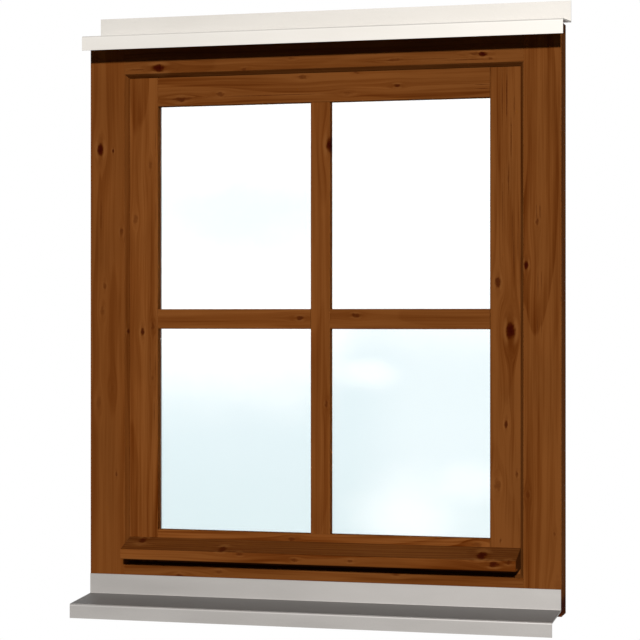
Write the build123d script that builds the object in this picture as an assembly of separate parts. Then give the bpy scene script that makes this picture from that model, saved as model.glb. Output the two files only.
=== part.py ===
"""A wooden casement window with four lights, a head flashing and a sill flashing.

The frame is screwed on the outside of a plank wall: its flange lies on the wall and its body
passes into the opening. The sash opens inwards and is shown shut. Sizes are in millimetres.
+X is right as seen from outside, +Y goes into the room and +Z is up. The origin lies on the
back of the frame's bottom flange, in the plane of the wall's outer face.
"""
import os
from collections import namedtuple

from build123d import *

# Frame
frame_width = 691.0
frame_height = 817.0
frame_depth = 56.0
jamb_face = 52.8
head_face = 53.0
frame_bottom_rail_face = 51.0
flange_thickness = 39.0
flange_lap = 20.0
stop_thickness = 28.0
splay_width = 5.0
splay_depth = 7.2
lip_gap = 0.3
rebate_depth = 12.0
arris_radius = 1.2

# Sash
sash_recess = 8.7
sash_gap = 2.0
stile_face = 43.4
top_rail_face = 42.3
bottom_rail_face = 47.5
rebate_air = 4.0
overlap_width = 12.0
overlap_thickness = 14.4
overlap_gap = 0.3
seal_thickness = 3.0
seal_width = 6.0

# Glazing
glass_setback = 13.0
glass_cover = 18.0
glass_edge_clearance = 3.0
pane_thickness = 4.0
cavity = 12.0
spacer_width = 6.5
edge_sealant = 4.0
bead_sight_margin = 5.0
bead_setback = 3.0
bead_splay = 9.5
bar_width = 28.6
bar_below_centre = 1.4

# Weather bar on the sash's bottom rail
weather_bar_projection = 39.3
weather_bar_back_height = 28.5
weather_bar_front_height = 14.3
weather_bar_above_lip = 7.5
weather_bar_end_clearance = 0.3
weather_bar_round = 1.5
drip_groove_width = 6.0
drip_groove_depth = 4.0
drip_groove_setback = 6.0

# Flashings, folded from sheet
sheet_thickness = 2.0
bend_radius = 1.0
flashing_upright = 28.4
flashing_lip = 20.3
head_flashing_depth = 76.5
head_flashing_fall = 6.3
head_flashing_overhang = 3.0
head_flashing_shift = 4.7
head_flashing_clearance = 0.2
sill_flashing_depth = 80.8
sill_flashing_fall = 5.5
sill_flashing_rise = 9.3
sill_flashing_inset = 0.5

# Handle and hinges on the room side
rosette_width = 28.0
rosette_height = 66.0
rosette_thickness = 10.0
rosette_edge_round = 3.0
neck_diameter = 16.0
neck_length = 34.0
grip_length = 118.0
grip_width = 19.0
grip_thickness = 12.0
grip_round = 4.0
hinge_barrel_diameter = 14.0
hinge_height = 64.0
hinge_from_end = 110.0
hinge_joint_gap = 1.0
hinge_joint_depth = 1.0
hinge_leaf_width = 24.0
hinge_leaf_thickness = 2.5
hinge_clearance = 0.3

# A ring is a rectangular outline of the window: half its width, and its lower and upper edges.
Ring = namedtuple("Ring", "half bottom top")

# A step of a section: where it starts and ends in depth, and its outer and inner outlines.
# Where the inner side is splayed, the last value is the inner outline at the step's end.
Step = namedtuple("Step", "start end outer inner splayed_to", defaults=[None])


def inset(ring, sides, bottom=None, top=None):
    """A ring drawn in by the given widths, or by one width all round."""
    bottom = sides if bottom is None else bottom
    top = sides if top is None else top
    return Ring(ring.half - sides, ring.bottom + bottom, ring.top - top)


def outset(ring, width):
    """A ring let out by one width all round."""
    return inset(ring, -width)


def block(x, y, z):
    """A box from three (low, high) pairs."""
    low, high = zip(x, y, z)
    size = [h - l for l, h in zip(low, high)]
    return Pos(*low) * Box(*size, align=(Align.MIN, Align.MIN, Align.MIN))


def along_x(outline, start, end):
    """A profile drawn as (Y, Z) points, run along X."""
    face = make_face(Polyline(*[(start, y, z) for y, z in outline], close=True))
    return extrude(face, amount=end - start, dir=(1, 0, 0))


def along_z(outline, start, end):
    """A profile drawn as (X, Y) points, run along Z."""
    face = make_face(Polyline(*[(x, y, start) for x, y in outline], close=True))
    return extrude(face, amount=end - start, dir=(0, 0, 1))


def frustum(small, large, start, end):
    """A solid that widens from one ring at the start depth to another at the end depth."""
    faces = []
    for ring, depth in ((small, start), (large, end)):
        corners = [(-1, ring.bottom), (1, ring.bottom), (1, ring.top), (-1, ring.top)]
        outline = [(side * ring.half, depth, z) for side, z in corners]
        faces.append(make_face(Polyline(*outline, close=True)))
    return loft(faces)


def stepped_outline(steps, edge):
    """A closed section as (edge, depth) points: down the inner side and back up the outer side."""
    points = []
    for s in steps:
        points += [(edge(s.inner), s.start), (edge(s.splayed_to or s.inner), s.end)]
    for s in reversed(steps):
        points += [(edge(s.outer), s.end), (edge(s.outer), s.start)]
    return [p for i, p in enumerate(points) if p != points[i - 1]]


def eased(member, run):
    """A member with its two long arrises on the outer face rounded."""
    arrises = member.edges().filter_by(run).group_by(Axis.Y)[0]
    return fillet(arrises, arris_radius)


def upright(steps, side):
    """A jamb or stile: it runs the full height, and each step stops at its own outline."""
    bottom = min(s.outer.bottom for s in steps)
    top = max(s.outer.top for s in steps)
    outline = stepped_outline(steps, lambda ring: side * ring.half)
    member = along_z(outline, bottom, top)
    reach = (-frame_width, frame_width)
    for s in steps:
        if s.outer.bottom > bottom:
            member -= block(reach, (s.start, s.end), (bottom, s.outer.bottom))
        if s.outer.top < top:
            member -= block(reach, (s.start, s.end), (s.outer.top, top))
    return member


def cross_rail(steps, edge, uprights):
    """A rail between two uprights, with its ends scribed over their inner sides."""
    half = max(s.inner.half for s in steps)
    outline = stepped_outline(steps, lambda ring: getattr(ring, edge))
    member = along_x([(depth, z) for z, depth in outline], -half, half)
    return eased(member, Axis.X) - uprights


def joinery(prefix, steps, names):
    """The four members of a frame or sash, by node name."""
    left, right, top, bottom = [prefix + name for name in names]
    uprights = [upright(steps, -1), upright(steps, 1)]
    return {
        left: eased(uprights[0], Axis.Z),
        right: eased(uprights[1], Axis.Z),
        top: cross_rail(steps, "top", uprights),
        bottom: cross_rail(steps, "bottom", uprights),
    }


def strips(prefix, outer, inner, start, end):
    """Four plain strips round a ring: the sides run through, the others fit between them."""
    depth = (start, end)
    height = (outer.bottom, outer.top)
    between = (-inner.half, inner.half)
    return {
        prefix + "_left": block((-outer.half, -inner.half), depth, height),
        prefix + "_right": block((inner.half, outer.half), depth, height),
        prefix + "_top": block(between, depth, (inner.top, outer.top)),
        prefix + "_bottom": block(between, depth, (outer.bottom, inner.bottom)),
    }


def mitred(prefix, ring_solid, outline, width, start, end):
    """A ring sawn at its corners into four mitred lengths."""
    outer = [(-outline.half, outline.bottom), (-outline.half, outline.top),
             (outline.half, outline.top), (outline.half, outline.bottom)]
    drawn_in = inset(outline, width)
    inner = [(-drawn_in.half, drawn_in.bottom), (-drawn_in.half, drawn_in.top),
             (drawn_in.half, drawn_in.top), (drawn_in.half, drawn_in.bottom)]
    lengths = {}
    for i, side in enumerate(("left", "top", "right", "bottom")):
        after = (i + 1) % len(outer)
        quad = [(x, start, z) for x, z in (outer[i], outer[after], inner[after], inner[i])]
        saw_cut = extrude(make_face(Polyline(*quad, close=True)), amount=end - start, dir=(0, 1, 0))
        lengths[f"{prefix}_{side}"] = ring_solid & saw_cut
    return lengths


# Depths, from the outside in
frame_front = -flange_thickness
stop_back = frame_front + stop_thickness
frame_back = frame_front + frame_depth
splay_foot = frame_front + splay_depth
sash_front = frame_front + sash_recess
lip_back = sash_front - lip_gap
glass_front = sash_front + glass_setback
cavity_front = glass_front + pane_thickness
cavity_back = cavity_front + cavity
glass_back = cavity_back + pane_thickness
sash_shoulder = stop_back + seal_thickness
overlap_front = frame_back + overlap_gap
sash_back = overlap_front + overlap_thickness
bead_back = sash_back - bead_setback

# Outlines, from the outside in
frame_bottom = -flange_lap / 2
frame_outline = Ring(frame_width / 2, frame_bottom, frame_bottom + frame_height)
body_outline = inset(frame_outline, flange_lap)
sight_outline = inset(frame_outline, jamb_face, frame_bottom_rail_face, head_face)
lip_outline = inset(sight_outline, splay_width)
rebate_outline = outset(sight_outline, rebate_depth)
sash_outline = inset(sight_outline, sash_gap)
tongue_outline = inset(rebate_outline, rebate_air)
overlap_outline = outset(rebate_outline, overlap_width)
daylight = inset(lip_outline, stile_face, bottom_rail_face, top_rail_face)
glass_rebate = outset(daylight, glass_cover)
pane_outline = inset(glass_rebate, glass_edge_clearance)

pieces = {}

# Frame: jambs run through, the head and bottom rail fit between them. A splayed lip in front
# laps the edge of the sash, and the sash's shoulder closes on the stop behind it.
frame_steps = [
    Step(frame_front, splay_foot, frame_outline, sight_outline, lip_outline),
    Step(splay_foot, lip_back, frame_outline, lip_outline),
    Step(lip_back, stop_back, frame_outline, sight_outline),
    Step(stop_back, 0.0, frame_outline, rebate_outline),
    Step(0.0, frame_back, body_outline, rebate_outline),
]
pieces |= joinery("frame_", frame_steps, ("left_jamb", "right_jamb", "head", "bottom_rail"))

# Sash: a glazing lip outside, a tongue behind the frame's stop and an overlap inside
sash_steps = [
    Step(sash_front, glass_front, sash_outline, daylight),
    Step(glass_front, sash_shoulder, sash_outline, glass_rebate),
    Step(sash_shoulder, overlap_front, tongue_outline, glass_rebate),
    Step(overlap_front, sash_back, overlap_outline, glass_rebate),
]
pieces |= joinery("sash_", sash_steps, ("left_stile", "right_stile", "top_rail", "bottom_rail"))

# Seal strips between the frame's stop and the sash's shoulder
seal_margin = (tongue_outline.half - sight_outline.half - seal_width) / 2
seal_outline = inset(tongue_outline, seal_margin)
pieces |= strips("seal", seal_outline, inset(seal_outline, seal_width), stop_back, sash_shoulder)

# Insulating glass: two panes held apart by an aluminium spacer
pane_x = (-pane_outline.half, pane_outline.half)
pane_z = (pane_outline.bottom, pane_outline.top)
pieces["outer_pane"] = block(pane_x, (glass_front, cavity_front), pane_z)
pieces["inner_pane"] = block(pane_x, (cavity_back, glass_back), pane_z)
spacer_outline = inset(pane_outline, edge_sealant)
pieces |= strips("spacer", spacer_outline, inset(spacer_outline, spacer_width), cavity_front, cavity_back)

# Glazing beads on the room side, splayed so that they stay behind the sash's sight line
bead_foot = outset(daylight, bead_sight_margin)
bead_crest = outset(bead_foot, bead_splay)
bead_block = block(
    (-glass_rebate.half, glass_rebate.half),
    (glass_back, bead_back),
    (glass_rebate.bottom, glass_rebate.top),
)
bead_ring = bead_block - frustum(bead_foot, bead_crest, glass_back, bead_back)
pieces |= mitred("bead", bead_ring, glass_rebate, glass_cover, glass_back, bead_back)

# Glazing bars: the upright runs through and the level bar is in two lengths
bar_depth = (sash_front, glass_front)
bar_half = bar_width / 2
bar_level = (daylight.bottom + daylight.top) / 2 - bar_below_centre
upright_bar = block((-bar_half, bar_half), bar_depth, (daylight.bottom, daylight.top))
level_height = (bar_level - bar_half, bar_level + bar_half)
left_bar = block((-daylight.half, -bar_half), bar_depth, level_height)
right_bar = block((bar_half, daylight.half), bar_depth, level_height)
pieces["glazing_bar_upright"] = eased(upright_bar, Axis.Z)
pieces["glazing_bar_left"] = eased(left_bar, Axis.X)
pieces["glazing_bar_right"] = eased(right_bar, Axis.X)

# Weather bar: sloped top, plumb front and a drip groove underneath
bar_bottom = lip_outline.bottom + weather_bar_above_lip
weather_bar_half = lip_outline.half - weather_bar_end_clearance
bar_front = sash_front - weather_bar_projection
groove_front = bar_front + drip_groove_setback
weather_outline = [
    (sash_front, bar_bottom),
    (sash_front, bar_bottom + weather_bar_back_height),
    (bar_front, bar_bottom + weather_bar_front_height),
    (bar_front, bar_bottom),
    (groove_front, bar_bottom),
    (groove_front, bar_bottom + drip_groove_depth),
    (groove_front + drip_groove_width, bar_bottom + drip_groove_depth),
    (groove_front + drip_groove_width, bar_bottom),
]
weather_bar = along_x(weather_outline, -weather_bar_half, weather_bar_half)
nose = weather_bar.edges().filter_by(Axis.X).group_by(Axis.Y)[0]
pieces["weather_bar"] = fillet(nose, weather_bar_round)


def flashing(upright_back, upright_foot, depth, fall, half, centre):
    """A folded flashing: an upright, a ledge that falls outwards and a lip turned down."""
    lip_front = upright_back - depth
    lip_back = lip_front + sheet_thickness
    ledge_front = upright_foot - fall
    upright_front = upright_back - sheet_thickness
    outline = [
        (upright_back, upright_foot + flashing_upright),
        (upright_front, upright_foot + flashing_upright),
        (upright_front, upright_foot),
        (lip_front, ledge_front),
        (lip_front, ledge_front - flashing_lip),
        (lip_back, ledge_front - flashing_lip),
        (lip_back, ledge_front - sheet_thickness),
        (upright_back, upright_foot - sheet_thickness),
    ]
    sheet = along_x(outline, centre - half, centre + half)
    inside_folds = [(upright_front, upright_foot), (lip_back, ledge_front - sheet_thickness)]
    outside_folds = [(upright_back, upright_foot - sheet_thickness), (lip_front, ledge_front)]
    folds = [(bend_radius, inside_folds), (bend_radius + sheet_thickness, outside_folds)]
    for radius, corners in folds:
        long_edges = sheet.edges().filter_by(Axis.X)
        sheet = fillet([long_edges.sort_by_distance((centre, y, z))[0] for y, z in corners], radius)
    return sheet


# Head flashing: its upright lies on the wall and its ledge just clears the frame's front edge
head_half = frame_outline.half + head_flashing_overhang
ledge_slope = head_flashing_fall / (head_flashing_depth - sheet_thickness)
head_ledge_at_front = frame_outline.top + head_flashing_clearance + sheet_thickness
head_foot = head_ledge_at_front + ledge_slope * flange_thickness
pieces["head_flashing"] = flashing(
    0.0, head_foot, head_flashing_depth, head_flashing_fall, head_half, head_flashing_shift
)

# Sill flashing: its upright is fixed on the face of the frame's bottom rail
sill_half = frame_outline.half - sill_flashing_inset
sill_foot = frame_outline.bottom + sill_flashing_rise
pieces["sill_flashing"] = flashing(
    frame_front, sill_foot, sill_flashing_depth, sill_flashing_fall, sill_half, 0.0
)

# Handle on the right stile, turned down as when the sash is shut
handle_x = (glass_rebate.half + overlap_outline.half) / 2
handle_z = (sash_outline.bottom + sash_outline.top) / 2
rosette = Pos(handle_x, sash_back, handle_z) * extrude(
    Plane.XZ * SlotOverall(rosette_height, rosette_width, rotation=90), amount=-rosette_thickness
)
rosette_face = rosette.faces().sort_by(Axis.Y)[-1]
pieces["handle_rosette"] = fillet(rosette_face.edges(), rosette_edge_round)

neck_start = sash_back + rosette_thickness
neck_end = neck_start + neck_length
neck = Pos(handle_x, neck_start, handle_z) * extrude(
    Plane.XZ * Circle(neck_diameter / 2), amount=-neck_length
)
grip = block(
    (handle_x - grip_width / 2, handle_x + grip_width / 2),
    (neck_end - grip_thickness, neck_end),
    (handle_z - grip_length, handle_z + grip_width / 2),
)
grip = fillet(grip.edges(), grip_round)
pieces["handle_lever"] = neck + grip

# Hinges on the left: a barrel beside the sash's overlap, a foot on the frame and a leaf on the sash
barrel_radius = hinge_barrel_diameter / 2
barrel_x = -(overlap_outline.half + hinge_clearance + barrel_radius)
barrel_y = sash_back + hinge_leaf_thickness - barrel_radius


def hinge(middle):
    """One hinge, with its joint line at the given height."""
    low = middle - hinge_height / 2
    barrel = Pos(barrel_x, barrel_y, low) * extrude(Circle(barrel_radius), amount=hinge_height)
    joint = Pos(barrel_x, barrel_y, middle - hinge_joint_gap / 2) * (
        extrude(Circle(barrel_radius), amount=hinge_joint_gap)
        - extrude(Circle(barrel_radius - hinge_joint_depth), amount=hinge_joint_gap)
    )
    foot = block(
        (-body_outline.half, -overlap_outline.half - hinge_clearance),
        (frame_back, barrel_y),
        (low, middle - hinge_joint_gap),
    )
    leaf = block(
        (barrel_x, barrel_x + hinge_leaf_width),
        (sash_back, sash_back + hinge_leaf_thickness),
        (middle + hinge_joint_gap, low + hinge_height),
    )
    return barrel - joint + foot + leaf


pieces["lower_hinge"] = hinge(overlap_outline.bottom + hinge_from_end)
pieces["upper_hinge"] = hinge(overlap_outline.top - hinge_from_end)

os.makedirs("parts", exist_ok=True)
for name, piece in pieces.items():
    export_step(piece, f"parts/{name}.step")
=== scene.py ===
from math import cos, radians, sin

import bmesh
import bpy
from mathutils import Matrix, Vector


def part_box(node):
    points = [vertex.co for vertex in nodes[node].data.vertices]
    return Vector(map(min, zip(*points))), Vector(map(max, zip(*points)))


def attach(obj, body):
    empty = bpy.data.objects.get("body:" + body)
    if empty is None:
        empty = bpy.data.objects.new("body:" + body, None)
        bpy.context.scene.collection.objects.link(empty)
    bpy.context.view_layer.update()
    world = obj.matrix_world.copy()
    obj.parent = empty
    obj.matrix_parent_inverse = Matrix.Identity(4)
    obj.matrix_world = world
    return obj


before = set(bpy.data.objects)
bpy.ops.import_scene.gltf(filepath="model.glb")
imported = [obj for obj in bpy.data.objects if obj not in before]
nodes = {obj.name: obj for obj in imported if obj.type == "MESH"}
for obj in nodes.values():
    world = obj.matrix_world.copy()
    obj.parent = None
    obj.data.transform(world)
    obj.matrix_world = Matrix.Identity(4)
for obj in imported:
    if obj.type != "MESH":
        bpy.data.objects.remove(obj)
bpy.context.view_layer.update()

# Outer frame: two jambs that run through, with a head and a bottom rail between them.
# Each is planed knotty pine, soaked in a walnut-brown stain and left satin, so the
# late rings and the knots stay darker than the wood between them.


def feed(tree, socket, value):
    """Links a socket to another, or sets its plain value."""
    if isinstance(value, bpy.types.NodeSocket):
        tree.links.new(value, socket)
    else:
        socket.default_value = value


def add_node(tree, kind, inputs=None, **settings):
    """Adds a shader node with its settings and its inputs, by name or by place."""
    made = tree.nodes.new(kind)
    for name, value in settings.items():
        setattr(made, name, value)
    for name, value in (inputs or {}).items():
        feed(tree, made.inputs[name], value)
    return made


def calc(tree, operation, *values):
    """The result of one sum on sockets or plain numbers."""
    made = add_node(tree, "ShaderNodeMath", dict(enumerate(values)), operation=operation)
    return made.outputs["Value"]


def vector_calc(tree, operation, *vectors):
    """The result of one sum on vectors."""
    made = add_node(tree, "ShaderNodeVectorMath", dict(enumerate(vectors)), operation=operation)
    return made.outputs["Vector"]


def scaled(tree, vector, factors):
    """A vector with each of its parts multiplied, to stretch a pattern."""
    return vector_calc(tree, "MULTIPLY", vector, factors)


def split(tree, vector):
    """The X, Y and Z parts of a vector."""
    return add_node(tree, "ShaderNodeSeparateXYZ", {"Vector": vector}).outputs


def joined(tree, x=0.0, y=0.0, z=0.0):
    """A vector from its three parts."""
    return add_node(tree, "ShaderNodeCombineXYZ", {"X": x, "Y": y, "Z": z}).outputs["Vector"]


def length_of(tree, first, second):
    """The long side of a right-angled triangle."""
    square = calc(tree, "MULTIPLY", second, second)
    return calc(tree, "SQRT", calc(tree, "MULTIPLY_ADD", first, first, square))


def eased(tree, value, low, high, to_low=0.0, to_high=1.0):
    """A value carried smoothly from one range to another, and held at the ends."""
    made = add_node(tree, "ShaderNodeMapRange", interpolation_type="SMOOTHSTEP")
    for name, amount in (("Value", value), ("From Min", low), ("From Max", high),
                         ("To Min", to_low), ("To Max", to_high)):
        feed(tree, made.inputs[name], amount)
    return made.outputs["Result"]


def noise(tree, vector, scale=1.0, detail=2.0, roughness=0.5, output="Fac"):
    """Soft cloudy noise, from 0 to 1."""
    inputs = {"Vector": vector, "Scale": scale, "Detail": detail, "Roughness": roughness}
    return add_node(tree, "ShaderNodeTexNoise", inputs).outputs[output]


def swing(tree, value, reach):
    """A noise value turned into a swing either way about nothing."""
    return calc(tree, "MULTIPLY", calc(tree, "SUBTRACT", value, 0.5), reach)


def ramp(tree, value, stops):
    """Colours at places along a value, blended between them."""
    made = add_node(tree, "ShaderNodeValToRGB", {"Fac": value})
    elements = made.color_ramp.elements
    while len(elements) < len(stops):
        elements.new(1.0)
    for element, (place, colour) in zip(elements, stops):
        element.position = place
        element.color = (*colour, 1.0)
    return made.outputs["Color"]


def blended(tree, share, first, second, blend_type="MIX"):
    """Two colours mixed by a share."""
    made = add_node(tree, "ShaderNodeMix", data_type="RGBA", blend_type=blend_type)
    for place, value in ((0, share), (6, first), (7, second)):
        feed(tree, made.inputs[place], value)
    return made.outputs[2]


def dimmed(tree, colour, level):
    """A colour made lighter or darker by a level."""
    return blended(tree, 1.0, colour, joined(tree, level, level, level), "MULTIPLY")


def new_group(name, inputs, outputs):
    """An empty shader group, with its sockets as (name, kind) pairs."""
    group = bpy.data.node_groups.new(name, "ShaderNodeTree")
    for direction, sockets in (("INPUT", inputs), ("OUTPUT", outputs)):
        for label, kind in sockets:
            group.interface.new_socket(label, in_out=direction, socket_type="NodeSocket" + kind)
    start = group.nodes.new("NodeGroupInput")
    end = group.nodes.new("NodeGroupOutput")
    return group, start.outputs, end.inputs


def new_finish(name):
    """A new material, with its node tree and its surface shader."""
    material = bpy.data.materials.new(name)
    material.use_nodes = True
    tree = material.node_tree
    return material, tree, tree.nodes["Principled BSDF"]


def object_place(tree):
    """Where a point of the surface lies, in metres from the window's origin."""
    return add_node(tree, "ShaderNodeTexCoord").outputs["Object"]


def dress(material, *names):
    """Gives pieces of the window one material in place of their plain one."""
    for name in names:
        nodes[name].data.materials.clear()
        nodes[name].data.materials.append(material)


def make_knot_group():
    """One knot: the grain flows round it, and it has a dark core, pale sides and dark tails."""
    flow_stretch = 1.7
    flow_reach = 1.5
    least_distance = 1e-4
    lump_scale = 0.8
    lump_reach = 0.9
    weak_unevenness = 2.35
    calmed_by_strength = 1.6
    fibre_scale = (900.0, 900.0, 180.0)
    ragged_edge = 0.55
    ragged_tail = 1.2
    tail_stretch = 2.6
    core_edge = (1.20, 0.65)
    rim_edge = (2.1, 1.1)
    rim_sides = (0.45, 1.0)
    tail_edge = (1.2, 0.5)
    marks = [("Core", "Float"), ("Depth", "Float"), ("Rim", "Float"), ("Tail", "Float")]
    group, given, result = new_group(
        "pine_knot",
        [("Place", "Vector"), ("Board", "Vector"), *marks, ("Centre", "Vector"),
         ("Radius", "Float"), ("Length", "Float"), ("Strength", "Float")],
        [("Board", "Vector"), *marks],
    )
    radius = given["Radius"]
    away = split(group, vector_calc(group, "SUBTRACT", given["Place"], given["Centre"]))
    along = calc(group, "DIVIDE", away["Z"], given["Length"])

    # Fibres run past the knot on both sides, so what lies inside the reach is pushed out.
    distance = length_of(group, away["X"], calc(group, "DIVIDE", along, flow_stretch))
    distance = calc(group, "MAXIMUM", distance, least_distance)
    nearness = calc(group, "DIVIDE", calc(group, "MULTIPLY", radius, flow_reach), distance)
    bend = calc(group, "MINIMUM", calc(group, "MULTIPLY", nearness, nearness), 1.0)
    push = joined(group, x=calc(group, "MULTIPLY", away["X"], bend))
    feed(group, result["Board"], vector_calc(group, "SUBTRACT", given["Board"], push))

    # Its outline is lumpy and frayed, and a weak knot is no more than a broken smudge.
    unevenness = calc(group, "MULTIPLY_ADD", given["Strength"], -calmed_by_strength, weak_unevenness)
    parts = split(group, given["Place"])
    squat = joined(group, parts["X"], parts["Y"], calc(group, "DIVIDE", parts["Z"], given["Length"]))
    lumps = noise(group, squat, calc(group, "DIVIDE", lump_scale, radius), output="Color")
    lump = add_node(group, "ShaderNodeSeparateColor", {"Color": lumps}).outputs
    lump_size = calc(group, "MULTIPLY", radius, calc(group, "MULTIPLY", unevenness, lump_reach))
    across = calc(group, "ADD", away["X"], swing(group, lump["Red"], lump_size))
    along = calc(group, "ADD", along, swing(group, lump["Green"], lump_size))
    share = calc(group, "DIVIDE", length_of(group, across, along), radius)
    fibres = noise(group, scaled(group, given["Place"], fibre_scale))
    fray = swing(group, fibres, calc(group, "MULTIPLY", unevenness, ragged_edge))
    share = calc(group, "ADD", share, fray)
    tail_along = calc(group, "DIVIDE", along, tail_stretch)
    tail_share = calc(group, "DIVIDE", length_of(group, across, tail_along), radius)
    tail_share = calc(group, "ADD", tail_share, swing(group, fibres, ragged_tail))
    sideways = calc(group, "DIVIDE", calc(group, "ABSOLUTE", across), radius)
    beside = eased(group, sideways, *rim_sides)
    own_marks = {
        "Core": eased(group, share, *core_edge),
        "Depth": calc(group, "SUBTRACT", 1.0, share),
        "Rim": calc(group, "MULTIPLY", eased(group, share, *rim_edge), beside),
        "Tail": eased(group, tail_share, *tail_edge),
    }
    for label, value in own_marks.items():
        left = calc(group, "MULTIPLY", value, given["Strength"])
        feed(group, result[label], calc(group, "MAXIMUM", left, given[label]))
    return group


def make_pine_group():
    """Stained pine from a board's own place: across and depth in X and Y, grain along Z."""
    seed_steps = (1.0, 1.7, 2.3)
    group, given, result = new_group(
        "stained_pine",
        [("Board", "Vector"), ("Core", "Float"), ("Depth", "Float"), ("Rim", "Float"), ("Tail", "Float"),
         ("Seed", "Float"), ("Tone", "Float"), ("Figure", "Float"), ("Up", "Float"), ("End", "Float")],
        [("Color", "Color"), ("Roughness", "Float"), ("Height", "Float")],
    )
    seed = given["Seed"]
    seeds = scaled(group, joined(group, seed, seed, seed), seed_steps)
    own = vector_calc(group, "ADD", given["Board"], seeds)
    parts = split(group, given["Board"])

    # The pith wanders behind the face, so its rings sweep out along the board.
    pith_pace = 1.6
    pith_seed_step = 9.1
    pith_sway = 0.075
    pith_behind = 0.024
    pith_dip = 0.040
    way = calc(group, "MULTIPLY", seed, pith_seed_step)
    way = calc(group, "MULTIPLY_ADD", parts["Z"], pith_pace, way)
    wander = noise(group, joined(group, x=seed, z=way), detail=1.0, output="Color")
    wander = add_node(group, "ShaderNodeSeparateColor", {"Color": wander}).outputs
    across = calc(group, "SUBTRACT", parts["X"], swing(group, wander["Red"], pith_sway))
    pith_depth = calc(group, "MULTIPLY_ADD", wander["Green"], pith_dip, pith_behind)
    radius = length_of(group, across, calc(group, "SUBTRACT", parts["Y"], pith_depth))

    # Each ring darkens slowly to its late wood and ends at once, and no two are equally dark.
    ring_width = 0.0058
    ring_wave = 0.0065
    wave_scale = (30.0, 30.0, 3.2)
    late_rise = (0.30, 0.88)
    late_fall = (1.0, 0.92)
    faintest_ring = 0.2
    wave = noise(group, scaled(group, own, wave_scale))
    rings = calc(group, "DIVIDE", calc(group, "MULTIPLY_ADD", wave, ring_wave, radius), ring_width)
    phase = calc(group, "FRACT", rings)
    late_wood = calc(group, "MULTIPLY", eased(group, phase, *late_rise), eased(group, phase, *late_fall))
    ring_number = calc(group, "ADD", calc(group, "FLOOR", rings), seed)
    ring_noise = add_node(group, "ShaderNodeTexWhiteNoise", {"W": ring_number}, noise_dimensions="1D")
    ring_tone = ring_noise.outputs["Value"]
    ring_share = calc(group, "MULTIPLY_ADD", ring_tone, 1.0 - faintest_ring, faintest_ring)
    late_wood = calc(group, "MULTIPLY", late_wood, ring_share)

    # Stain takes unevenly: broad streaks, fine ones, single fibres and blotches.
    streak_scale = (120.0, 120.0, 2.6)
    streak_edge = (0.30, 0.72)
    streak_dark = 0.42
    late_dark = 0.50
    fine_scale = (430.0, 430.0, 5.0)
    fine_dark = 0.95
    fibre_scale = (1250.0, 1250.0, 20.0)
    fibre_dark = 0.45
    usual_dark = 0.30
    blotch_scale = (22.0, 22.0, 8.0)
    blotch_reach = 0.30
    pale = (0.194, 0.0628, 0.0132)
    plain = (0.152, 0.0437, 0.0075)
    plain_at = 0.42
    late = (0.092, 0.0190, 0.0013)
    streak = noise(group, scaled(group, own, streak_scale), detail=3.0, roughness=0.6)
    streak = eased(group, streak, *streak_edge)
    fine_streak = noise(group, scaled(group, own, fine_scale), detail=3.0, roughness=0.6)
    fibre = noise(group, scaled(group, own, fibre_scale), roughness=0.6)
    blotch = noise(group, scaled(group, own, blotch_scale))
    dark = calc(group, "MULTIPLY_ADD", streak, streak_dark, calc(group, "MULTIPLY", late_wood, late_dark))
    dark = calc(group, "ADD", dark, swing(group, fine_streak, fine_dark))
    dark = calc(group, "ADD", dark, swing(group, fibre, fibre_dark))
    off_usual = calc(group, "SUBTRACT", dark, usual_dark)
    dark = calc(group, "MULTIPLY_ADD", off_usual, given["Figure"], usual_dark)
    colour = ramp(group, dark, [(0.0, pale), (plain_at, plain), (1.0, late)])
    level = calc(group, "MULTIPLY_ADD", blotch, blotch_reach, 1.0 - blotch_reach / 2)
    level = calc(group, "MULTIPLY", level, given["Tone"])

    # Painted shade darkens what faces up, and cut ends soak up more stain.
    facing_up = (0.55, 0.93)
    painted_top_shade = 0.28
    cut_end = (0.80, 0.98)
    end_soak = 0.45
    level = calc(group, "MULTIPLY", level, eased(group, given["Up"], *facing_up, 1.0, 1.0 - painted_top_shade))
    level = calc(group, "MULTIPLY", level, eased(group, given["End"], *cut_end, 1.0, 1.0 - end_soak))
    colour = dimmed(group, colour, level)

    # Knots are resinous: a pale rim, dark tails along the grain and a red-brown core.
    rim_share = 0.60
    rim_colour = (0.230, 0.0850, 0.0215)
    tail_share = 0.28
    tail_colour = (0.076, 0.0135, 0.0005)
    mottle_scale = (520.0, 520.0, 260.0)
    mottle_reach = 1.3
    knot_edge = (0.080, 0.0175, 0.0012)
    knot_ring = (0.049, 0.0056, 0.0004)
    knot_heart = (0.033, 0.0024, 0.0002)
    ring_at = 0.32
    heart_at = 0.80
    rim = calc(group, "MULTIPLY", given["Rim"], rim_share)
    tail = calc(group, "MULTIPLY", given["Tail"], tail_share)
    colour = blended(group, rim, colour, (*rim_colour, 1.0))
    colour = blended(group, tail, colour, (*tail_colour, 1.0))
    mottle = noise(group, scaled(group, own, mottle_scale))
    depth = calc(group, "ADD", given["Depth"], swing(group, mottle, mottle_reach))
    knot = ramp(group, depth, [(0.0, knot_edge), (ring_at, knot_ring), (heart_at, knot_heart)])
    colour = blended(group, given["Core"], colour, knot)
    feed(group, result["Color"], colour)

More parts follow.
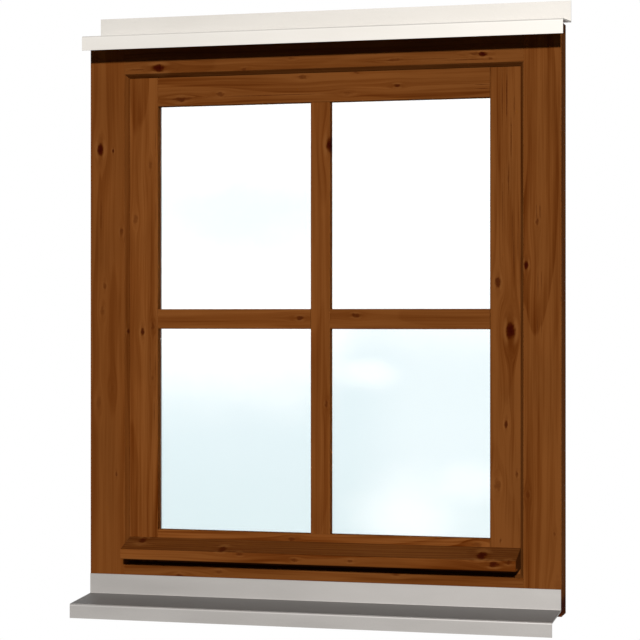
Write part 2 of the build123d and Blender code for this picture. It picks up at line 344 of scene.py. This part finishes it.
    # Planing leaves late wood, fibres and knots a little proud, and late wood is smoother.
    satin = 0.68
    late_gloss = 0.06
    fibre_roughness = 0.12
    late_height = 0.45
    fibre_height = 0.4
    knot_height = 0.35
    gloss = calc(group, "MULTIPLY_ADD", late_wood, -late_gloss, satin)
    feed(group, result["Roughness"], calc(group, "MULTIPLY_ADD", fibre, fibre_roughness, gloss))
    height = calc(group, "MULTIPLY", fibre, fibre_height)
    height = calc(group, "MULTIPLY_ADD", late_wood, late_height, height)
    feed(group, result["Height"], calc(group, "MULTIPLY_ADD", given["Core"], knot_height, height))
    return group


knot_group = make_knot_group()
pine_group = make_pine_group()


def stain_board(name, seed, level=False, tone=1.0, figure=1.0, knots=(), streaks=()):
    """Gives a board its own grain, with knots as (x, z, radius, strength) and resin streaks
    as (x, z, half width, half length, strength), all in metres from the window's origin."""
    knot_length = 1.9
    relief = 0.0006
    relief_strength = 0.35
    sheen = 0.01
    low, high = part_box(name)
    middle = (low + high) / 2
    material, tree, surface = new_finish(name + "_pine")
    turn = add_node(tree, "ShaderNodeMapping", {"Vector": object_place(tree)})
    if level:
        turn.inputs["Rotation"].default_value = (0.0, radians(90), 0.0)
        turn.inputs["Location"].default_value = (-middle.z, -middle.y, middle.x)
    else:
        turn.inputs["Location"].default_value = (-middle.x, -middle.y, -middle.z)
    place = turn.outputs["Vector"]
    marks = {"Board": place, "Core": 0.0, "Depth": 0.0, "Rim": 0.0, "Tail": 0.0}
    spots = [(x, z, radius, knot_length, strength) for x, z, radius, strength in knots]
    spots += [(x, z, width, length / width, strength) for x, z, width, length, strength in streaks]
    for x, z, radius, length, strength in spots:
        centre = (z - middle.z, 0.0, middle.x - x) if level else (x - middle.x, 0.0, z - middle.z)
        own = {"Place": place, "Centre": centre, "Radius": radius, "Length": length, "Strength": strength}
        knot = add_node(tree, "ShaderNodeGroup", {**marks, **own}, node_tree=knot_group)
        marks = {label: knot.outputs[label] for label in marks}
    facing = split(tree, add_node(tree, "ShaderNodeNewGeometry").outputs["Normal"])
    end = calc(tree, "ABSOLUTE", facing["X"] if level else facing["Z"])
    own = {"Seed": seed, "Tone": tone, "Figure": figure, "Up": facing["Z"], "End": end}
    pine = add_node(tree, "ShaderNodeGroup", {**marks, **own}, node_tree=pine_group)
    grain = {"Strength": relief_strength, "Distance": relief, "Height": pine.outputs["Height"]}
    bump = add_node(tree, "ShaderNodeBump", grain)
    feed(tree, surface.inputs["Base Color"], pine.outputs["Color"])
    feed(tree, surface.inputs["Roughness"], pine.outputs["Roughness"])
    feed(tree, surface.inputs["Normal"], bump.outputs["Normal"])
    surface.inputs["Specular IOR Level"].default_value = sheen
    dress(material, name)


stain_board("frame_left_jamb", 3.1, figure=0.58, knots=[
    (-0.3298, 0.645, 0.0054, 1.0), (-0.310, 0.643, 0.0017, 0.8), (-0.297, 0.525, 0.0030, 0.50),
    (-0.323, 0.447, 0.0025, 0.45), (-0.327, 0.411, 0.0034, 0.28), (-0.312, 0.297, 0.0036, 0.14),
    (-0.333, 0.277, 0.0042, 0.22), (-0.305, 0.173, 0.0017, 0.45), (-0.2885, 0.381, 0.0020, 0.80),
], streaks=[(-0.3291, 0.550, 0.0019, 0.024, 0.25)])
# The right jamb's last knot, at its foot below the end of the sill flashing, is a painted shadow.
stain_board("frame_right_jamb", 7.4, tone=0.97, figure=1.25, knots=[
    (0.2965, 0.473, 0.0033, 1.0), (0.3123, 0.533, 0.0024, 0.50), (0.299, 0.157, 0.0028, 0.30),
    (0.336, 0.104, 0.0017, 0.35), (0.3412, 0.004, 0.0080, 0.95),
], streaks=[
    (0.3130, 0.447, 0.0007, 0.018, 0.40), (0.3179, 0.451, 0.0007, 0.018, 0.35),
    (0.3123, 0.387, 0.0007, 0.017, 0.35), (0.3179, 0.389, 0.0007, 0.017, 0.30),
    (0.3111, 0.546, 0.0007, 0.011, 0.45), (0.3158, 0.546, 0.0008, 0.011, 0.45),
])
stain_board("frame_head", 12.7, level=True, tone=0.9, figure=1.2, knots=[
    (-0.240, 0.7615, 0.0060, 1.0), (0.236, 0.766, 0.0036, 1.0), (0.247, 0.759, 0.0022, 0.50),
    (-0.040, 0.769, 0.0022, 0.30), (-0.111, 0.756, 0.0022, 0.40),
], streaks=[
    (-0.2748, 0.7602, 0.0014, 0.012, 0.40), (0.2235, 0.7675, 0.0024, 0.009, 0.45),
    (0.2180, 0.7590, 0.0011, 0.036, 0.45), (0.1110, 0.7620, 0.0024, 0.011, 0.40),
    (0.1610, 0.7618, 0.0009, 0.036, 0.30),
])
stain_board("frame_bottom_rail", 15.9, level=True, tone=0.88, figure=1.4, knots=[
    (-0.148, 0.036, 0.0028, 0.40), (-0.208, 0.027, 0.0042, 0.65), (0.112, 0.041, 0.0028, 0.50),
])

# Seal strips: soft brown rubber pressed into the frame's rebate, where the closed sash
# meets it. The frame's lip and the sash hide them from outside and from the room.
rubber_dark = (0.014, 0.0095, 0.0070)
rubber_light = (0.026, 0.018, 0.0130)


def evenly(tree, value, low, high):
    """How far a value is on its way from one number to another, held at the ends."""
    inputs = {"Value": value, "From Min": low, "From Max": high}
    return add_node(tree, "ShaderNodeMapRange", inputs).outputs["Result"]


def make_uneven_group():
    """A finish that wanders with a pattern between two colours and two roughnesses."""
    colour_span = (0.3, 0.7)
    gloss_span = (0.2, 0.8)
    group, given, result = new_group(
        "uneven_finish",
        [("Pattern", "Float"), ("Dark", "Color"), ("Light", "Color"),
         ("Smooth", "Float"), ("Rough", "Float")],
        [("Color", "Color"), ("Roughness", "Float")],
    )
    pattern = given["Pattern"]
    share = evenly(group, pattern, *colour_span)
    feed(group, result["Color"], blended(group, share, given["Dark"], given["Light"]))
    feed(group, result["Roughness"], eased(group, pattern, *gloss_span, given["Smooth"], given["Rough"]))
    return group


uneven_group = make_uneven_group()


def vary(tree, surface, pattern, dark, light, smooth, rough):
    """Gives a surface an uneven finish that follows a pattern."""
    own = {"Pattern": pattern, "Dark": (*dark, 1.0), "Light": (*light, 1.0),
           "Smooth": smooth, "Rough": rough}
    finish = add_node(tree, "ShaderNodeGroup", own, node_tree=uneven_group)
    feed(tree, surface.inputs["Base Color"], finish.outputs["Color"])
    feed(tree, surface.inputs["Roughness"], finish.outputs["Roughness"])


brown_rubber, tree, surface = new_finish("brown_rubber")
speckle = noise(tree, object_place(tree), scale=420.0, detail=3.0)
vary(tree, surface, speckle, rubber_dark, rubber_light, smooth=0.5, rough=0.72)
dress(brown_rubber, "seal_left", "seal_right", "seal_top", "seal_bottom")

# Sash: two stiles that run through and two rails between them, of the same stained pine.
# It opens inwards: the frame's splayed lip laps its outer face, and it laps the frame
# on the room side.
stain_board("sash_left_stile", 21.3, tone=1.05, figure=1.25, knots=[
    (-0.256, 0.621, 0.0030, 0.30), (-0.279, 0.544, 0.0034, 0.35), (-0.268, 0.380, 0.0031, 0.85),
    (-0.252, 0.388, 0.0028, 0.35), (-0.252, 0.314, 0.0022, 0.30),
], streaks=[
    (-0.2480, 0.658, 0.0007, 0.014, 0.45), (-0.2475, 0.550, 0.0007, 0.020, 0.45),
    (-0.2561, 0.330, 0.0007, 0.018, 0.40), (-0.2483, 0.330, 0.0007, 0.018, 0.40),
    (-0.2500, 0.267, 0.0009, 0.016, 0.40),
])
stain_board("sash_right_stile", 26.8, tone=0.96, figure=1.5, knots=[
    (0.2555, 0.449, 0.0042, 0.75), (0.2735, 0.3825, 0.0069, 1.0), (0.267, 0.253, 0.0028, 0.80),
    (0.255, 0.169, 0.0045, 0.35), (0.282, 0.184, 0.0022, 0.50), (0.259, 0.091, 0.0016, 0.50),
], streaks=[
    (0.2781, 0.487, 0.0007, 0.026, 0.45), (0.2837, 0.497, 0.0007, 0.020, 0.40),
    (0.2616, 0.711, 0.0007, 0.034, 0.50), (0.2680, 0.709, 0.0009, 0.034, 0.60),
    (0.2739, 0.648, 0.0014, 0.030, 0.45), (0.2784, 0.694, 0.0008, 0.016, 0.45),
    (0.2706, 0.594, 0.0014, 0.020, 0.45), (0.2620, 0.564, 0.0007, 0.034, 0.40),
    (0.2760, 0.529, 0.0007, 0.030, 0.40),
])
stain_board("sash_top_rail", 31.2, level=True, tone=0.97, figure=1.2, knots=[
    (-0.209, 0.716, 0.0042, 0.68), (-0.149, 0.722, 0.0032, 0.45), (-0.026, 0.743, 0.0030, 0.50),
    (0.112, 0.727, 0.0026, 0.80), (0.053, 0.747, 0.0020, 0.45), (0.040, 0.718, 0.0028, 0.22),
], streaks=[
    (-0.2080, 0.7170, 0.0024, 0.015, 0.50), (-0.0745, 0.7185, 0.0009, 0.065, 0.45),
    (0.2338, 0.7248, 0.0008, 0.011, 0.50), (0.2338, 0.7193, 0.0008, 0.011, 0.50),
])
stain_board("sash_bottom_rail", 36.6, level=True, tone=1.1, figure=1.6, knots=[
    (-0.042, 0.085, 0.0028, 0.45), (0.226, 0.085, 0.0034, 0.35),
])

# Weather bar: a moulded pine drip bar glued and screwed to the sash's bottom rail.
# Its top slopes outwards, and a groove underneath stops the water.
stain_board("weather_bar", 41.5, level=True, tone=1.03, figure=1.15, knots=[
    (-0.264, 0.078, 0.0034, 0.8), (-0.136, 0.071, 0.0034, 0.75), (0.238, 0.073, 0.0044, 0.95),
    (-0.108, 0.066, 0.0026, 0.55), (-0.027, 0.060, 0.0026, 0.5), (0.257, 0.063, 0.0040, 0.9),
    (0.277, 0.066, 0.0028, 0.6), (0.054, 0.061, 0.0022, 0.5),
])

# Glass unit: two sheets of clear float glass, kept apart by an aluminium spacer and sealed
# at the edge. Light from lamps passes straight through the sheets.
glass_green = (0.965, 0.985, 0.985)
glass_clear = (0.985, 0.995, 0.995)
lamp_tint = (0.94, 0.97, 0.97)
spacer_dark = (0.52, 0.52, 0.52)
spacer_light = (0.66, 0.66, 0.66)
clear_glass, tree, surface = new_finish("clear_float_glass")
surface.inputs["Transmission Weight"].default_value = 1.0
surface.inputs["Roughness"].default_value = 0.0
surface.inputs["IOR"].default_value = 1.5
drift = noise(tree, object_place(tree), scale=3.0)
feed(tree, surface.inputs["Base Color"], ramp(tree, drift, [(0.3, glass_green), (0.7, glass_clear)]))
clear = add_node(tree, "ShaderNodeBsdfTransparent", {"Color": (*lamp_tint, 1.0)})
lamp_rays = add_node(tree, "ShaderNodeLightPath").outputs["Is Shadow Ray"]
either = {0: lamp_rays, 1: surface.outputs["BSDF"], 2: clear.outputs["BSDF"]}
glass_mix = add_node(tree, "ShaderNodeMixShader", either)
feed(tree, tree.nodes["Material Output"].inputs["Surface"], glass_mix.outputs["Shader"])
dress(clear_glass, "outer_pane", "inner_pane")

mill_aluminium, tree, surface = new_finish("mill_aluminium")
surface.inputs["Metallic"].default_value = 1.0
drawn = noise(tree, object_place(tree), scale=300.0, detail=3.0)
vary(tree, surface, drawn, spacer_dark, spacer_light, smooth=0.3, rough=0.45)
dress(mill_aluminium, "spacer_left", "spacer_right", "spacer_top", "spacer_bottom")

# Glazing bars: one upright and two level halves of the same stained pine, planed to one
# width. They are let into the sash in front of the glass, with the upright in one length.
stain_board("glazing_bar_upright", 46.2, tone=1.05, figure=0.85, knots=[
    (0.0145, 0.646, 0.0062, 1.0), (0.009, 0.278, 0.0024, 0.45),
])
stain_board("glazing_bar_left", 51.9, level=True, tone=1.05, knots=[(-0.030, 0.400, 0.0032, 0.65)])
stain_board("glazing_bar_right", 56.3, level=True, tone=0.97, knots=[(0.052, 0.404, 0.0032, 0.65)])

# Glazing beads: four splayed strips of clear stained pine, mitred at the corners. They are
# pinned into the sash's rebate and hold the glass from the room side.
stain_board("bead_left", 61.7)
stain_board("bead_right", 64.1)
stain_board("bead_top", 67.8, level=True)
stain_board("bead_bottom", 72.5, level=True)

# Head flashing: one strip of sheet metal, folded and coated off-white. Its upright lies on
# the wall, and its lip throws the rain clear of the frame.


def make_sheet_group():
    """Rolled and coated sheet, with painted shade on what faces up and on the upright by the wall."""
    cloud_scale = (3.0, 14.0, 14.0)
    grain_scale = 900.0
    grain_reach = 0.5
    colour_span = (0.25, 0.75)
    lying_flat = (0.90, 0.99)
    near_wall = (-0.006, -0.003)
    upright_shade = 0.13
    gloss_span = (0.1, 0.9)
    gloss_reach = 0.05
    group, given, result = new_group(
        "coated_sheet",
        [("Place", "Vector"), ("Up", "Float"), ("Dark", "Color"), ("Light", "Color"),
         ("Metal", "Float"), ("Matt", "Float"), ("Shade", "Float")],
        [("Color", "Color"), ("Metallic", "Float"), ("Roughness", "Float"), ("Height", "Float")],
    )
    place = given["Place"]
    cloud = noise(group, scaled(group, place, cloud_scale), detail=4.0, roughness=0.6)
    grain = noise(group, place, grain_scale)
    mixed = calc(group, "ADD", swing(group, grain, grain_reach), cloud)
    colour = blended(group, evenly(group, mixed, *colour_span), given["Dark"], given["Light"])
    # What faces up is painted darker and loses its metal shine, as painted shade.
    shaded_top = eased(group, given["Up"], *lying_flat)
    unshaded = calc(group, "SUBTRACT", 1.0, calc(group, "MULTIPLY", shaded_top, given["Shade"]))
    # The upright by the wall is painted darker, as painted shade against the light the sheet bounces onto
    # it.
    upright_shading = eased(group, split(group, place)["Y"], *near_wall, 1.0, 1.0 - upright_shade)
    feed(group, result["Color"], dimmed(group, colour, calc(group, "MULTIPLY", unshaded, upright_shading)))
    bare = calc(group, "SUBTRACT", 1.0, shaded_top)
    feed(group, result["Metallic"], calc(group, "MULTIPLY", bare, given["Metal"]))
    unevenness = eased(group, mixed, *gloss_span, -gloss_reach, gloss_reach)
    feed(group, result["Roughness"], calc(group, "ADD", given["Matt"], unevenness))
    feed(group, result["Height"], grain)
    return group


sheet_group = make_sheet_group()


def coat_sheet(name, dark, light, metal, matt, top_shade):
    """Gives a folded sheet its own colours, and shares of bare metal, mattness and painted shade on what
    faces up.
    """
    relief = 0.0004
    relief_strength = 0.12
    sheen = 0.2
    material, tree, surface = new_finish(name + "_coat")
    up = split(tree, add_node(tree, "ShaderNodeNewGeometry").outputs["Normal"])["Z"]
    own = {"Place": object_place(tree), "Up": up, "Dark": (*dark, 1.0), "Light": (*light, 1.0),
           "Metal": metal, "Matt": matt, "Shade": top_shade}
    coat = add_node(tree, "ShaderNodeGroup", own, node_tree=sheet_group)
    grain = {"Strength": relief_strength, "Distance": relief, "Height": coat.outputs["Height"]}
    bump = add_node(tree, "ShaderNodeBump", grain)
    feed(tree, surface.inputs["Base Color"], coat.outputs["Color"])
    feed(tree, surface.inputs["Metallic"], coat.outputs["Metallic"])
    feed(tree, surface.inputs["Roughness"], coat.outputs["Roughness"])
    feed(tree, surface.inputs["Normal"], bump.outputs["Normal"])
    surface.inputs["Specular IOR Level"].default_value = sheen
    dress(material, name)


# The last share of each sheet is painted shade on what faces up.
coat_sheet("head_flashing", dark=(0.815, 0.772, 0.709), light=(0.862, 0.822, 0.765),
           metal=0.38, matt=0.53, top_shade=0.38)

# Sill flashing: the same sheet work in matt grey aluminium. Its upright is fixed on the face
# of the frame's bottom rail, and its ledge falls outwards to a lip.
coat_sheet("sill_flashing", dark=(0.53, 0.50, 0.47), light=(0.60, 0.57, 0.54),
           metal=0.68, matt=0.50, top_shade=0.72)

# Room-side hardware: a turn handle on its rosette, on the right stile, and two hinges on the
# left. All are satin anodised aluminium, brushed along their height.
brush_scale = (1400.0, 1400.0, 60.0)
satin_dark = (0.53, 0.53, 0.52)
satin_light = (0.64, 0.64, 0.63)
satin_aluminium, tree, surface = new_finish("satin_aluminium")
surface.inputs["Metallic"].default_value = 1.0
brushed = noise(tree, scaled(tree, object_place(tree), brush_scale), detail=3.0)
vary(tree, surface, brushed, satin_dark, satin_light, smooth=0.28, rough=0.42)
dress(satin_aluminium, "handle_rosette", "handle_lever", "upper_hinge", "lower_hinge")

# Hinge screws: plated steel screws with a lens head and a six-lobed recess, two through the
# leaf of each hinge into the sash.
screw_radius = 0.0034
screw_rise = 0.0016
screw_rounding = 0.0009
recess_radius = 0.0016
recess_depth = 0.0011
recess_draft = 0.00015
lobe_steps = 4
lobe_shares = {0: 1.14, 2: 0.82}
from_leaf_edge = 0.0085
above_middle = (0.0085, 0.0245)
plating_dark = (0.44, 0.43, 0.40)
plating_light = (0.58, 0.57, 0.54)


def highest(faces):
    """The face that lies highest."""
    return max(faces, key=lambda face: face.calc_center_median().z)


def add_screw(mesh, place):
    """One screw head on a face that looks into the room."""
    made = bmesh.ops.create_cone(mesh, cap_ends=True, segments=6 * lobe_steps, radius1=screw_radius,
                                 radius2=screw_radius, depth=screw_rise)
    verts = set(made["verts"])
    top = highest(face for face in mesh.faces if verts.issuperset(face.verts))
    bmesh.ops.bevel(mesh, geom=top.edges[:], offset=screw_rounding, segments=3, profile=0.5,
                    affect="EDGES", material=-1)
    mesh.faces.ensure_lookup_table()
    top = highest(face for face in mesh.faces if face.calc_center_median().length < screw_radius)
    centre = top.calc_center_median()
    rim = screw_radius - screw_rounding - recess_radius
    bmesh.ops.inset_individual(mesh, faces=[top], thickness=rim)
    for step, vert in enumerate(top.verts):
        vert.co = centre + (vert.co - centre) * lobe_shares.get(step % lobe_steps, 1.0)
    bmesh.ops.inset_individual(mesh, faces=[top], thickness=recess_draft, depth=-recess_depth)
    own = [vert for vert in mesh.verts if vert.co.length < 2 * screw_radius]
    bmesh.ops.rotate(mesh, verts=own, cent=(0.0, 0.0, 0.0), matrix=Matrix.Rotation(radians(-90), 3, "X"))
    bmesh.ops.translate(mesh, verts=own, vec=place + Vector((0.0, screw_rise / 2, 0.0)))


def add_object(name, mesh):
    """Turns a finished mesh into an object of the scene."""
    data = bpy.data.meshes.new(name)
    mesh.to_mesh(data)
    mesh.free()
    made = bpy.data.objects.new(name, data)
    bpy.context.scene.collection.objects.link(made)
    return made


screw_mesh = bmesh.new()
for name in ("upper_hinge", "lower_hinge"):
    low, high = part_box(name)
    for rise in above_middle:
        add_screw(screw_mesh, Vector((high.x - from_leaf_edge, high.y, (low.z + high.z) / 2 + rise)))
hinge_screws = add_object("hinge_screws", screw_mesh)
plated_steel, tree, surface = new_finish("plated_steel")
surface.inputs["Metallic"].default_value = 1.0
plating = noise(tree, object_place(tree), scale=900.0, detail=3.0)
vary(tree, surface, plating, plating_dark, plating_light, smooth=0.25, rough=0.4)
hinge_screws.data.materials.append(plated_steel)
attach(hinge_screws, "root")

# Studio: a pale floor well below the window, one clear light from the front right, and
# three large soft lights that open up the room side and the frame's right edge.
floor_level = -0.95
floor_reach = 3.2
floor_dark = (0.80, 0.79, 0.77)
floor_light = (0.84, 0.83, 0.81)
floor_glow = (0.95, 0.94, 0.92)
floor_mesh = bmesh.new()
bmesh.ops.create_grid(floor_mesh, x_segments=1, y_segments=1, size=floor_reach)
bmesh.ops.translate(floor_mesh, verts=floor_mesh.verts, vec=(0.0, 0.0, floor_level))
floor = add_object("floor", floor_mesh)
pale_floor, tree, surface = new_finish("pale_floor")
mottle = noise(tree, object_place(tree), scale=4.0, detail=4.0)
feed(tree, surface.inputs["Base Color"], ramp(tree, mottle, [(0.3, floor_dark), (0.7, floor_light)]))
surface.inputs["Roughness"].default_value = 0.9
surface.inputs["Emission Color"].default_value = (*floor_glow, 1.0)
surface.inputs["Emission Strength"].default_value = 0.35
floor.data.materials.append(pale_floor)
floor.visible_diffuse = False
floor.visible_glossy = False

key_from = Vector((0.24, -1.0, 0.385))
key = bpy.data.lights.new("key", "SUN")
key.energy = 3.25
key.angle = radians(3.5)
key_object = bpy.data.objects.new("key", key)
key_object.rotation_euler = key_from.to_track_quat("Z", "Y").to_euler()
bpy.context.scene.collection.objects.link(key_object)

window_middle = Vector((0.0, 0.0, 0.40))
room_lamps = (
    ("room_left", (-2.2, 2.5, 0.15), 1.1, 62.0),
    ("room_behind", (-0.98, 2.95, 0.25), 1.3, 66.0),
    ("room_right", (2.4, 1.4, 0.40), 1.3, 9.0),
)
for name, place, width, power in room_lamps:
    lamp = bpy.data.lights.new(name, "AREA")
    lamp.energy = power
    lamp.size = width
    lamp_object = bpy.data.objects.new(name, lamp)
    lamp_object.location = place
    lamp_object.rotation_euler = (Vector(place) - window_middle).to_track_quat("Z", "Y").to_euler()
    lamp_object.visible_camera = False
    lamp_object.visible_transmission = False
    lamp_object.visible_glossy = False
    bpy.context.scene.collection.objects.link(lamp_object)

# Camera: level, at half the window's height and to its right, with the long lens of the
# picture. Its small shift only sets the window in the frame as the picture has it.
camera_turn = radians(15.35)
camera_data = bpy.data.cameras.new("camera")
camera_data.sensor_width = 36.0
camera_data.lens = 116.775
camera_data.shift_y = -0.00516
camera = bpy.data.objects.new("camera", camera_data)
camera.location = (0.7799, -2.8728, 0.402)
camera.rotation_euler = (radians(90), 0.0, camera_turn)
bpy.context.scene.collection.objects.link(camera)
bpy.context.scene.camera = camera

# Surroundings: white round the window, and through its glass a pale sky with soft clouds.
# Everything but clear glass takes only a weak even fill from them, and metal a soft room.
fill_level = 0.065
front_level = 0.80
white = (1.0, 1.0, 1.0, 1.0)
world = bpy.data.worlds.new("surroundings")
bpy.context.scene.world = world
world.use_nodes = True
tree = world.node_tree
direction = add_node(tree, "ShaderNodeTexCoord").outputs["Generated"]
ways = split(tree, direction)

# The sky is white above and turns blue lower down, sooner to the right of a cloud bank.
cloud_white = (1.32, 1.32, 1.32, 1.0)
sky_blue = (0.905, 1.03, 1.07, 1.0)
low_blue = (0.855, 0.985, 1.015, 1.0)
puff_scale = (22.0, 22.0, 34.0)
puff_reach = 0.32
patch_raggedness = 1.6
patch_feather = 0.75
bank_edge = (-0.012, 0.030)
bank_rise = (-0.14, 0.23)
fall_to_blue = -12.0
blue_edge = (-0.10, 0.60)
paler_aside = (0.01, 0.05)
blue_shares = (0.92, 0.72)
deeper_below = (-0.050, -0.100)
aside = calc(tree, "MULTIPLY", ways["Y"], sin(camera_turn))
aside = calc(tree, "MULTIPLY_ADD", ways["X"], cos(camera_turn), aside)
puffs = noise(tree, scaled(tree, direction, puff_scale), detail=4.0, roughness=0.62)


def sky_patch(middle, reach, strength):
    """A soft patch of the sky round a place (aside, up), ragged by the puffs."""
    shares = [calc(tree, "DIVIDE", calc(tree, "SUBTRACT", value, at), size)
              for value, at, size in zip((aside, ways["Z"]), middle, reach)]
    distance = calc(tree, "ADD", length_of(tree, *shares), swing(tree, puffs, patch_raggedness))
    return eased(tree, distance, 1.0 + patch_feather, 1.0 - patch_feather, 0.0, strength)


bank = eased(tree, aside, *bank_edge, *bank_rise)
lowness = calc(tree, "ADD", bank, swing(tree, puffs, puff_reach))
lowness = calc(tree, "MULTIPLY_ADD", ways["Z"], fall_to_blue, lowness)
blue = eased(tree, aside, *paler_aside, *blue_shares)
blue = calc(tree, "MULTIPLY", eased(tree, lowness, *blue_edge), blue)
clouds = (
    ((0.043, -0.0955), (0.022, 0.017), 0.55),
    ((0.022, -0.027), (0.013, 0.006), 0.55),
    ((0.072, -0.079), (0.016, 0.008), 0.40),
)
for middle, reach, strength in clouds:
    bare = calc(tree, "SUBTRACT", 1.0, sky_patch(middle, reach, strength))
    blue = calc(tree, "MULTIPLY", blue, bare)
high_gap = ((-0.041, 0.051), (0.060, 0.018), 0.45)
blue = calc(tree, "MAXIMUM", blue, sky_patch(*high_gap))
blues = blended(tree, eased(tree, ways["Z"], *deeper_below), sky_blue, low_blue)
sky = blended(tree, blue, cloud_white, blues)
front_share = calc(tree, "LESS_THAN", ways["Y"], 0.0)
through_glass = blended(tree, front_share, sky, (front_level, front_level, front_level, 1.0))

# Metal mirrors a room with a bright left side and ceiling, and a pale ground.
left_side = (0.3, -0.9)
left_glow = 0.75
ceiling = (0.1, 0.9)
ceiling_glow = 0.4
room_side = (0.0, 0.5)
room_glow = 0.24
ground = (0.05, -0.30)
ground_glow = 0.28
least_glow = 0.03
room_gloss = calc(tree, "ADD", eased(tree, ways["X"], *left_side, 0.0, left_glow),
                  eased(tree, ways["Z"], *ceiling, 0.0, ceiling_glow))
room_gloss = calc(tree, "ADD", room_gloss, room_glow)
room_gloss = calc(tree, "MULTIPLY", room_gloss, eased(tree, ways["Y"], *room_side))
ground_gloss = eased(tree, ways["Z"], *ground, least_glow, ground_glow)
gloss = calc(tree, "ADD", room_gloss, ground_gloss)
gloss = joined(tree, gloss, gloss, gloss)

# Only what is seen straight through clear glass shows the sky.
paths = add_node(tree, "ShaderNodeLightPath").outputs
mirrored_glass = calc(tree, "MULTIPLY", paths["Glossy Depth"], paths["Transmission Depth"])
straight = calc(tree, "LESS_THAN", calc(tree, "ADD", mirrored_glass, paths["Diffuse Depth"]), 0.5)
straight = calc(tree, "MULTIPLY", straight, paths["Is Singular Ray"])
fill = blended(tree, paths["Is Glossy Ray"], (fill_level, fill_level, fill_level, 1.0), gloss)
seen = blended(tree, straight, fill, through_glass)
seen = blended(tree, paths["Is Camera Ray"], seen, white)
feed(tree, tree.nodes["Background"].inputs["Color"], seen)
bpy.context.scene.view_settings.view_transform = "Standard"
